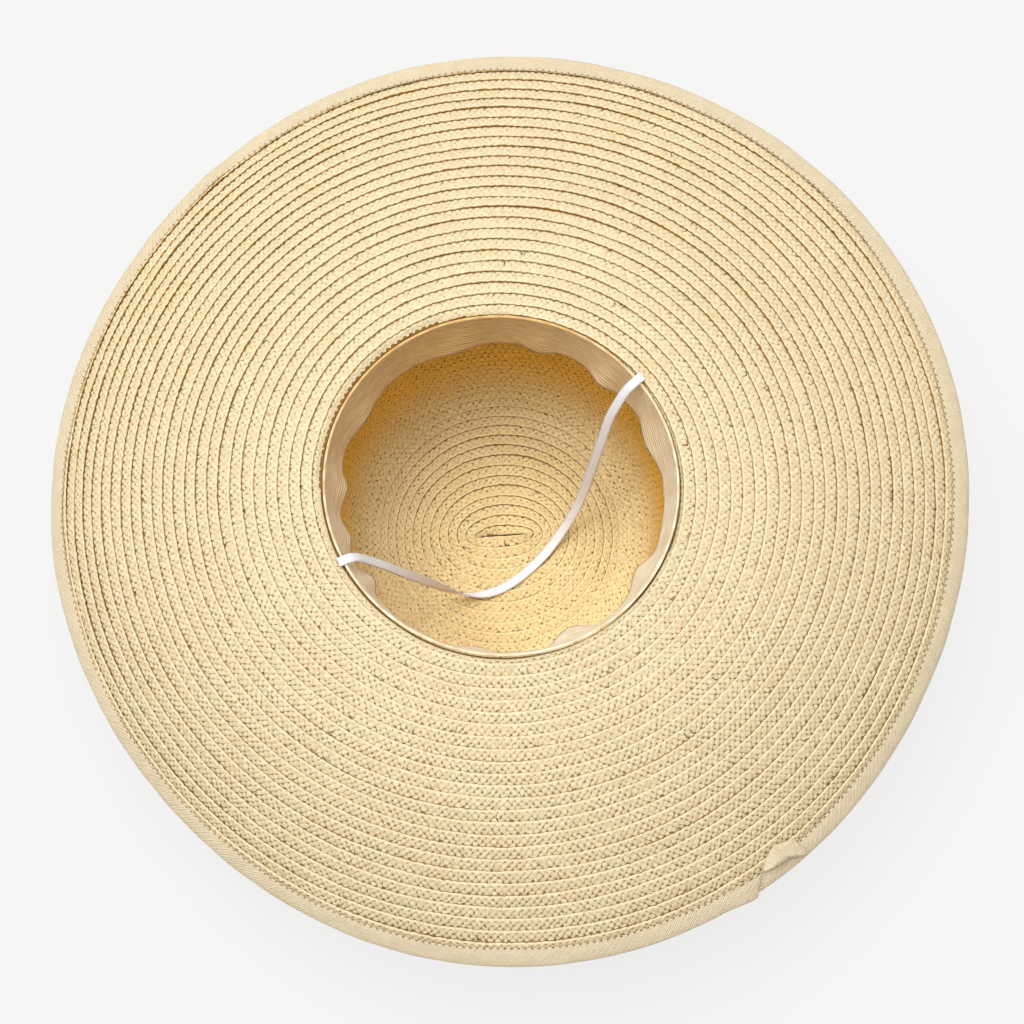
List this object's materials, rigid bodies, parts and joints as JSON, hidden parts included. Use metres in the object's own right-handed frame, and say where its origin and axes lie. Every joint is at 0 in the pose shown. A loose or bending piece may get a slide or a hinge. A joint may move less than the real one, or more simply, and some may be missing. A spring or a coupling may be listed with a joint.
{
  "type": "capeline hat",
  "caption": "Wide-brimmed sewn straw sun hat lying on its crown, with taped edge, ribbed sweatband and white chin elastic.",
  "frame": {"origin": "on the surface that carries the hat, under the middle of the flat tip of the crown", "axes": "+Z out of the head opening, away from the tip that the hat lies on; -Y towards the viewer; +X to the viewer's right"},
  "size_m": [0.4818, 0.4871, 0.1127],
  "materials": {
    "crown_straw": "sewn paper-straw braid, golden beige",
    "brim_straw": "sewn paper-straw braid, light golden beige",
    "binding_tape": "matte twill tape",
    "sweatband_tape": "ribbed tape with a soft sheen",
    "white_elastic": "flat white knitted elastic"
  },
  "bodies": {
    "root": {"crown": "crown_straw", "brim": "brim_straw", "edge_binding": "binding_tape", "sweatband": "sweatband_tape", "chin_elastic": "white_elastic"}
  },
  "joints": []
}
